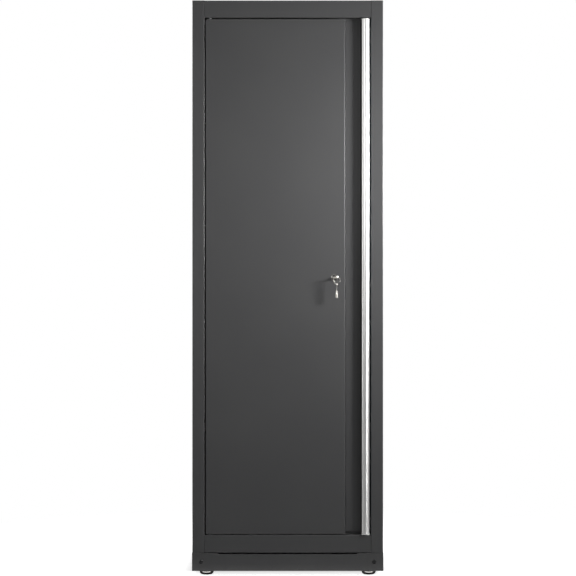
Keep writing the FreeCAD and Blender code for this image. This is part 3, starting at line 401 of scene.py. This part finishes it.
def pan_screw(head, long, recess, seat):
    """An M4 pan head that faces +Y with a cross recess pressed in, and a threaded shank towards
    -Y. The recess sinks the middle of the head along its four arms, less towards their ends."""
    high, flat, sink, arm, wall = 2.6, head - 1.3, 1.5, 0.62, 0.2
    profile = rounded([(0, high), (flat, high), (head - 0.25, high - 1), (head, high * 0.35),
                       (head, 0), (0, 0)], 0.5)
    fine = np.linspace(0, flat, 14)[:-1]
    profile = np.vstack([np.stack([fine, np.full(len(fine), high)], axis=1), profile[1:]])
    points, u_closed, v_closed = turned(profile, seat, Y, 64)
    from_middle = np.abs(points - np.array(seat))[..., [0, 2]]
    reach, off = from_middle.max(axis=-1), from_middle.min(axis=-1)
    sunk = (sink * np.clip(1 - reach / recess, 0, 1) ** 0.7
            * np.clip((arm - off) / wall, 0, 1))
    points[..., 1] -= np.where(profile[:, None, 1] > high - 0.01, sunk, 0)
    shank = threaded(M4, 0.7, -long, 0.05, seat, Y, count=20, per_pitch=5)
    return [(points, u_closed, v_closed), shank]


def tube_key(size, bow, way, side, up):
    """The surfaces of a key: a stamped ring for a bow, a flat neck that waists and runs into a
    drilled tube with a groove, and a lug. Distances run from the middle of the bow along way."""
    outer, hole, tube = size["bow_radius"], size["hole_radius"], size["tube_radius"]
    bow, blank, drill, tip = np.array(bow, float), 1.0, 2.6, 42
    turn = full_turn(72)[:, None]
    out = np.cos(turn) * way + np.sin(turn) * side
    ring = looped(bow + (outer + hole) / 2 * out, out, up,
                  soft_rectangle((outer - hole) / 2, blank, 7))
    along = np.array([5.2, 6, 7.5, 9, 10.5, 12, 15, 18, 20, 21])
    half = np.array([2.6, 3, 2.9, 2.5, 2.3, 2.3, 2.3, 2.5, 3, 3])
    neck = carried(bow + along[:, None] * way, side, up, soft_rectangle(1, blank, 7),
                   np.stack([half, np.ones(len(half))], axis=1))
    shaft = turned(rounded([
        (0, 19), (tube - 1.1, 19), (tube - 0.1, 20.2), (tube, 21), (tube, 23.4),
        (tube - 0.35, 23.8), (tube - 0.35, 24.6), (tube, 25), (tube, tip - 0.4), (tube - 0.4, tip),
        (drill + 0.2, tip), (drill, tip - 0.2), (drill, 30.6), (0, 30)], 0.3, 4), bow, way)
    reach = tip - np.array([[3], [2.75], [0.25], [0]])
    lug = carried(bow + reach * way + (tube + 0.25) * up, side, up,
                  soft_rectangle(0.8, 0.75, 5, 20), [(0.85, 0.85), (1, 1), (1, 1), (0.85, 0.85)])
    return [ring, neck, shaft, lug]


# Properties

def length(name, description, metres):
    """A length property in Blender's unit."""
    return bpy.props.FloatProperty(name=name, description=description, default=metres,
                                   unit="LENGTH", precision=5)


class LockerFeet(bpy.types.PropertyGroup):
    """Glides and stems."""
    sole_radius: length("Sole Radius", "Flat sole of the glide", 12.5 * MM)
    rim_radius: length("Rim Radius", "Rim of the glide", 22.5 * MM)
    glide_height: length("Glide Height", "Height of the glide", 12.5 * MM)
    stem_radius: length("Stem Radius", "Radius of the stem over its thread", 5.0 * MM)
    stem_pitch: length("Stem Pitch", "Pitch of the stem's thread", 1.5 * MM)


class LockerFasteners(bpy.types.PropertyGroup):
    """Heads and recesses of the screws."""
    kick_head_radius: length("Kick Screw Head", "Radius of the kick plate screws' heads", 6.5 * MM)
    kick_socket: length("Kick Screw Socket", "Hexagon socket over its flats", 4.0 * MM)
    handle_head_radius: length("Handle Screw Head", "Radius of the handle screws' heads", 3.6 * MM)
    recess_half: length("Cross Recess", "Half length of the small screws' cross recess", 1.7 * MM)


class LockerLock(bpy.types.PropertyGroup):
    """Lock housing, keys and key ring."""
    rosette_radius: length("Rosette Radius", "Rim of the lock's rosette", 12.0 * MM)
    barrel_radius: length("Barrel Radius", "Barrel of the lock over its thread", 9.5 * MM)
    bow_radius: length("Bow Radius", "Outside of the key bow", 8.0 * MM)
    hole_radius: length("Hole Radius", "Ring hole in the key bow", 4.6 * MM)
    tube_radius: length("Tube Radius", "Outside of the key's tube", 3.8 * MM)
    ring_radius: length("Ring Radius", "Middle of the key ring's wire", 10.75 * MM)


class LockerStudio(bpy.types.PropertyGroup):
    """Camera and backdrop."""
    camera_distance: length("Camera Distance", "From the camera to the door", 6.0)
    camera_height: length("Camera Height", "Height of the camera above the floor", 0.9184)
    frame_height: length("Frame Height", "Height of the picture at the door", 1.8414)
    backdrop: bpy.props.FloatVectorProperty(
        name="Backdrop", description="Colour of the backdrop", subtype="COLOR", size=3,
        default=(1, 1, 1))


def sizes_of(group):
    """The lengths of a property group in millimetres."""
    return {name: getattr(group, name) / MM for name in group.__annotations__}


# Studio, in metres

MIDDLE = (0.0, -0.2, 1.0)
LAMPS = (  # name, place, aim, (width, height), watts, spread in degrees
    ("key_right", (1.6, -1.15, 1.43), (0.2, -0.23, 1.25), (0.42, 0.45), 27, 90),
    ("soft_front", (0.6, -3.4, 1.6), (0.2, -0.23, 1.35), (0.45, 0.9), 0.6, 60),
    ("strip_right", (1.7, -2.4, 0.5), (0.25, -0.23, 0.5), (0.35, 1.2), 1.5, 60),
    ("soft_left", (-1.5, -2.9, 1.75), (0.25, -0.23, 1.2), (1.6, 1.2), 2.2, 60),
    ("overhead", (0.2, -0.9, 3.6), (0.1, -0.3, 1.0), (1.4, 0.5), 4, 90),
    ("fill_left", (-3.6, -0.1, 1.3), MIDDLE, (1.6, 2.0), 34, 180),
    ("side_right", (3.6, 0.6, 1.8), MIDDLE, (1.6, 2.0), 36, 180),
    ("rim_back", (-1.0, 3.6, 2.2), MIDDLE, (2.2, 1.6), 110, 180),
)
AMBIENT = 0.14  # what the surroundings give to matt surfaces
FLOOR_GLOW = 0.85  # what lifts the open floor to white
FLOOR_HALF = 14
CAMERA_X = 0.001
SENSOR = 36.0  # in millimetres, as is the lens


def add_surroundings(scene, backdrop):
    """A backdrop that is white to the camera. Polished metal sees a room in it that is dimmer
    low down and straight ahead, and white behind the locker."""
    world = bpy.data.worlds.new("studio_surroundings")
    scene.world = world
    world.use_nodes = True
    tree = world.node_tree
    tree.nodes.clear()
    ray = add_node(tree, "ShaderNodeLightPath").outputs
    way = add_node(tree, "ShaderNodeTexCoord").outputs["Generated"]
    way = add_node(tree, "ShaderNodeSeparateXYZ", {"Vector": way}).outputs
    height = ramp(tree, way["Z"], -0.12, 0.2, 0.24, 0.44)
    aside = ramp(tree, reckoned(tree, "ABSOLUTE", way["X"]), 0.08, 0.4, 0.3, 1.0)
    behind = ramp(tree, way["Y"], -0.3, 0.3)
    room = blended(tree, behind, reckoned(tree, "MULTIPLY", height, aside), 1.0)
    level = blended(tree, ray["Is Glossy Ray"], AMBIENT, room)
    seen = reckoned(tree, "MAXIMUM", ray["Is Camera Ray"], ray["Is Transmission Ray"])
    level = blended(tree, seen, level, 1.0)
    shade = add_node(tree, "ShaderNodeBackground", {"Color": backdrop, "Strength": level})
    add_node(tree, "ShaderNodeOutputWorld", {"Surface": shade.outputs["Background"]})


def white_studio_floor(backdrop):
    """A matt white board that runs into the backdrop and is clear from below. It keeps the
    locker's shadow round the feet. Polished metal sees a painted reflection in it: a painted
    dark line where the feet stand and a painted bright strip in front of them."""
    material = bpy.data.materials.new("white_studio_floor")
    material.use_nodes = True
    tree = material.node_tree
    tree.nodes.clear()

    def glow(strength):
        return add_node(tree, "ShaderNodeEmission",
                        {"Color": backdrop, "Strength": strength}).outputs[0]

    ray = add_node(tree, "ShaderNodeLightPath").outputs
    place = add_node(tree, "ShaderNodeTexCoord").outputs["Object"]
    spot = add_node(tree, "ShaderNodeSeparateXYZ", {"Vector": place}).outputs
    beside = ramp(tree, reckoned(tree, "ABSOLUTE", spot["X"]), 0.27, 0.36)
    before = ramp(tree, spot["Y"], -0.08, -0.17)
    after = ramp(tree, spot["Y"], 0.3, 0.5)
    clear = reckoned(tree, "MAXIMUM", reckoned(tree, "MAXIMUM", beside, before), after)
    matt = add_node(tree, "ShaderNodeBsdfDiffuse", {"Color": linear("E6E6E6")}).outputs[0]
    lifted = glow(reckoned(tree, "MULTIPLY", clear, FLOOR_GLOW))
    near = add_node(tree, "ShaderNodeAddShader", {0: matt, 1: lifted}).outputs[0]
    reach = add_node(tree, "ShaderNodeVectorMath", {0: place}, operation="LENGTH")
    away = ramp(tree, reach.outputs["Value"], 0.5, 1.6, interpolation_type="SMOOTHSTEP")
    white = mixed(tree, away, near, glow(1.0))

    # Painted reflection, seen by glossy rays only: the floor glows 0.04 where the feet stand, a
    # painted contact shade, and 2.6 on a strip before them, a painted highlight that fades further
    # out.
    strip = ramp(tree, spot["Y"], -0.248, -0.262, 0.04, 2.6)
    painted_strip_fade = ramp(tree, spot["Y"], -0.3, -0.36, 1.0, 0.1)
    painted_reflection = glow(reckoned(tree, "MULTIPLY", strip, painted_strip_fade))
    board = mixed(tree, ray["Is Camera Ray"], matt, white)
    # Glossy rays see the painted reflection instead of the board.
    board = mixed(tree, ray["Is Glossy Ray"], board, painted_reflection)
    below = add_node(tree, "ShaderNodeNewGeometry").outputs["Backfacing"]
    board = mixed(tree, below, board, add_node(tree, "ShaderNodeBsdfTransparent").outputs[0])
    add_node(tree, "ShaderNodeOutputMaterial", {"Surface": board})
    return material


def add_floor(scene, backdrop):
    """The studio's floor, a plain square."""
    mesh = bpy.data.meshes.new("studio_floor")
    corners = FLOOR_HALF * np.array([(-1, -1, 0), (1, -1, 0), (1, 1, 0), (-1, 1, 0)])
    mesh.from_pydata(corners.tolist(), [], [(0, 1, 2, 3)])
    mesh.materials.append(white_studio_floor(backdrop))
    ground = bpy.data.objects.new("studio_floor", mesh)
    scene.collection.objects.link(ground)


def add_lamp(scene, name, place, aim, size, watts, spread):
    """A rectangular softbox at place, turned towards aim. spread is the angle in degrees that its
    grid lets out."""
    lamp = bpy.data.lights.new(name, "AREA")
    lamp.shape, lamp.size, lamp.size_y = "RECTANGLE", *size
    lamp.energy, lamp.spread = watts, math.radians(spread)
    made = bpy.data.objects.new(name, lamp)
    made.location = place
    made.rotation_euler = (Vector(aim) - Vector(place)).to_track_quat("-Z", "Y").to_euler()
    scene.collection.objects.link(made)


def add_camera(scene, settings):
    """A level camera straight in front of the door."""
    data = bpy.data.cameras.new("front_camera")
    data.sensor_width = SENSOR
    data.lens = SENSOR * settings.camera_distance / settings.frame_height
    camera = bpy.data.objects.new("front_camera", data)
    scene.collection.objects.link(camera)
    aim = Vector((CAMERA_X, DOOR_FACE * MM, settings.camera_height))
    camera.location = aim - settings.camera_distance * Vector(Y)
    camera.rotation_euler = (aim - camera.location).to_track_quat("-Z", "Y").to_euler()
    scene.camera = camera


# Operators

class LOCKER_OT_finishes(bpy.types.Operator):
    """Give every CAD piece the finish of its material slot"""
    bl_idname = "locker.finishes"
    bl_label = "Apply Finishes"

    def execute(self, context):
        for name, node in NODES.items():
            material = finish_of(name)
            if not node.material_slots:
                node.data.materials.append(material)
            for slot in node.material_slots:
                slot.material = material
        return {"FINISHED"}


class LOCKER_OT_glides(bpy.types.Operator):
    """Turn the four bowl-shaped glides with their swaged collars"""
    bl_idname = "locker.glides"
    bl_label = "Make Glides"

    def execute(self, context):
        size = sizes_of(context.scene.locker_feet)
        sole, rim, stem = size["sole_radius"], size["rim_radius"], size["stem_radius"]
        high = size["glide_height"]
        profile = [
            (0, 0.35), (sole - 4, 0.35), (sole - 2.5, 0), (sole, 0), (sole + 4, 0.9),
            (rim - 2.8, 3), (rim - 0.6, 5.8), (rim, high - 4), (rim, high - 0.5),
            (rim - 0.8, high), (rim - 2.2, high - 0.5),
            (stem + 7.5, high - 0.5), (stem + 6.2, high - 1.1), (stem + 3.4, high - 1.1),
            (stem + 2.6, high - 0.25), (stem + 0.3, high - 0.25), (stem + 0.1, high - 0.8),
            (stem + 0.1, high - GLIDE_SOCKET), (0, high - GLIDE_SOCKET)]
        for name, place in FEET.items():
            make_piece(f"chromed_glide_{name}", [turned(rounded(profile, 0.7), place, Z, 72)],
                       f"foot_{name}", f"glide_{name}")
        return {"FINISHED"}


class LOCKER_OT_stems(bpy.types.Operator):
    """Cut the threads of the four stems, each with its jam nut"""
    bl_idname = "locker.stems"
    bl_label = "Make Stems"

    def execute(self, context):
        size = sizes_of(context.scene.locker_feet)
        low = size["glide_height"] - GLIDE_SOCKET + 0.05
        for name, place in FEET.items():
            stem = threaded(size["stem_radius"], size["stem_pitch"], low, STEM_TOP, place, Z)
            make_piece(f"threaded_stem_{name}", [stem, hex_nut(JAM_NUT, place, Z)],
                       f"foot_{name}", f"stem_{name}")
        return {"FINISHED"}


class LOCKER_OT_nuts(bpy.types.Operator):
    """Make the weld nuts of feet and kick plate and the nut of the lock"""
    bl_idname = "locker.nuts"
    bl_label = "Make Nuts"

    def execute(self, context):
        for name, nut, places, axis, body, node in (
                ("foot_weld_nuts", FOOT_WELD_NUT, FEET.values(), Z, "cabinet", "foot_nuts"),
                ("kick_weld_nuts", KICK_WELD_NUT, KICK_SCREWS, Y, "cabinet", "kick_plate_nuts"),
                ("lock_hex_nut", LOCK_NUT, (LOCK,), Y, "door", "lock_nut")):
            make_piece(name, [hex_nut(nut, place, axis) for place in places], body, node)
        return {"FINISHED"}


class LOCKER_OT_screws(bpy.types.Operator):
    """Make the socket screws of the kick plate, the pan-head handle screws and the cam screw"""
    bl_idname = "locker.screws"
    bl_label = "Make Screws"

    def execute(self, context):
        size = sizes_of(context.scene.locker_fasteners)
        head, socket, face = size["kick_head_radius"], size["kick_socket"], KICK_HEAD_FACE
        half, seat = socket / 2, face + 3.3
        button = [
            (0, face + 2.2), (half * 0.6, face + 2), (half, face + 1.9), (half, face + 0.35),
            (half + 0.02, face + 0.02), (half + 0.4, face), (half + 1.6, face + 0.4),
            (head - 1.7, face + 1.3), (head - 0.5, face + 2.4), (head, face + 3), (head, seat),
            (M6, seat)]
        button = np.vstack([rounded(button, 0.35, 4), [(0, seat)]])
        surfaces = []
        for place in KICK_SCREWS:
            surfaces += [
                turned(button, place, Y, 72, socket=(socket + 0.04, face + 1.95)),
                threaded(M6, 1, face + 3.2, KICK_SCREW_END, place, Y, count=24)]
        make_piece("button_head_screws", surfaces, "cabinet", "kick_plate_screws")

        recess, surfaces = size["recess_half"], []
        for place in HANDLE_SCREWS:
            surfaces += pan_screw(size["handle_head_radius"], HANDLE_SHANK, recess, place)
        make_piece("handle_pan_screws", surfaces, "door", "handle_screws")
        surfaces = pan_screw(CAM_HEAD, CAM_SHANK, recess * 0.85, CAM_SCREW)
        make_piece("cam_pan_screw", surfaces, "lock", "cam_screw")
        return {"FINISHED"}


class LOCKER_OT_lock(bpy.types.Operator):
    """Make the lock's domed rosette with its threaded barrel"""
    bl_idname = "locker.lock"
    bl_label = "Make Lock"

    def execute(self, context):
        size = sizes_of(context.scene.locker_lock)
        rim, bore, face = size["rosette_radius"], PLUG_BORE, ROSETTE_FACE
        rosette = rounded([
            (bore, face + 0.4), (bore + 0.15, face + 0.25), (bore + 0.6, face + 0.25),
            (bore + 0.9, face), (bore + 2, face), (rim - 2, face + 0.3), (rim - 0.7, face + 1),
            (rim, face + 1.9), (rim, DOOR_FACE), (bore, DOOR_FACE), (bore, face + 0.4)], 0.3, 6)
        barrel = threaded(size["barrel_radius"], 1.0, DOOR_FACE - 0.3, BARREL_END, LOCK, Y,
                          depth=0.45, count=48, bore=bore)
        make_piece("lock_rosette", [turned(rosette, LOCK, Y, 96), barrel], "door", "lock_housing")
        return {"FINISHED"}


class LOCKER_OT_keys(bpy.types.Operator):
    """Make the two tubular keys and the split ring that holds them"""
    bl_idname = "locker.keys"
    bl_label = "Make Keys"

    def execute(self, context):
        size = sizes_of(context.scene.locker_lock)
        make_piece("tubular_key", tube_key(size, KEY_BOW, Y, X, Z), "lock", "key")
        make_piece("tubular_spare_key", tube_key(size, SPARE_BOW, -Z, Y, X), "spare", "spare_key")

        # Two turns of wire that change sides within the gap on either side of the start
        gap, start, steps, coil = math.radians(9), math.radians(200), 241, 0.31
        turn = np.linspace(start + gap, start + 4 * np.pi - gap, steps)[:, None]
        crossing = np.clip((turn - start - 2 * np.pi) / gap, -1, 1)
        out = np.cos(turn) * X + np.sin(turn) * Z
        places = RING + size["ring_radius"] * out + coil * np.sin(crossing * np.pi / 2) * Y
        fade = np.ones((steps, 2))
        fade[[0, -1]] = 0.8
        wire = carried(places, out, Y, soft_rectangle(0.66, 0.3, 4, 16), fade)
        make_piece("split_key_ring", [wire], "ring", "key_ring")
        return {"FINISHED"}


class LOCKER_OT_buffers(bpy.types.Operator):
    """Mould the domed door buffers"""
    bl_idname = "locker.buffers"
    bl_label = "Make Buffers"

    def execute(self, context):
        radius, tip, base = 6, -209.4, -207
        dome = rounded([(0, tip), (2.6, tip + 0.05), (5, tip + 0.8), (5.8, base - 0.7),
                        (radius, base), (0, base)], 0.6, 6)
        make_piece("rubber_door_buffers", [turned(dome, place, Y) for place in BUFFERS],
                   "cabinet", "door_buffers")
        return {"FINISHED"}


class LOCKER_OT_studio(bpy.types.Operator):
    """Make the white surroundings, the floor, the lamps and the camera"""
    bl_idname = "locker.studio"
    bl_label = "Set Up Studio"

    def execute(self, context):
        scene = context.scene
        settings = scene.locker_studio
        backdrop = (*settings.backdrop, 1.0)
        scene.view_settings.view_transform = "Standard"
        add_surroundings(scene, backdrop)
        add_floor(scene, backdrop)
        for lamp in LAMPS:
            add_lamp(scene, *lamp)
        add_camera(scene, settings)
        return {"FINISHED"}


class LOCKER_PT_panel(bpy.types.Panel):
    """Lists the locker's steps"""
    bl_label = "Side Locker"
    bl_idname = "LOCKER_PT_panel"
    bl_space_type = "VIEW_3D"
    bl_region_type = "UI"
    bl_category = "Locker"

    def draw(self, context):
        for step in STEPS:
            self.layout.operator(step.bl_idname)


STEPS = (LOCKER_OT_finishes, LOCKER_OT_glides, LOCKER_OT_stems, LOCKER_OT_nuts, LOCKER_OT_screws,
         LOCKER_OT_lock, LOCKER_OT_keys, LOCKER_OT_buffers, LOCKER_OT_studio)
GROUPS = {"locker_feet": LockerFeet, "locker_fasteners": LockerFasteners,
          "locker_lock": LockerLock, "locker_studio": LockerStudio}


def register():
    for group in GROUPS.values():
        bpy.utils.register_class(group)
    for name, group in GROUPS.items():
        setattr(bpy.types.Scene, name, bpy.props.PointerProperty(type=group))
    for step in (*STEPS, LOCKER_PT_panel):
        bpy.utils.register_class(step)


def unregister():
    for step in (LOCKER_PT_panel, *reversed(STEPS)):
        bpy.utils.unregister_class(step)
    for name, group in GROUPS.items():
        delattr(bpy.types.Scene, name)
        bpy.utils.unregister_class(group)


def main():
    """Registers and runs every step."""
    register()
    for step in STEPS:
        family, name = step.bl_idname.split(".")
        getattr(getattr(bpy.ops, family), name)()


if __name__ == "__main__":
    main()
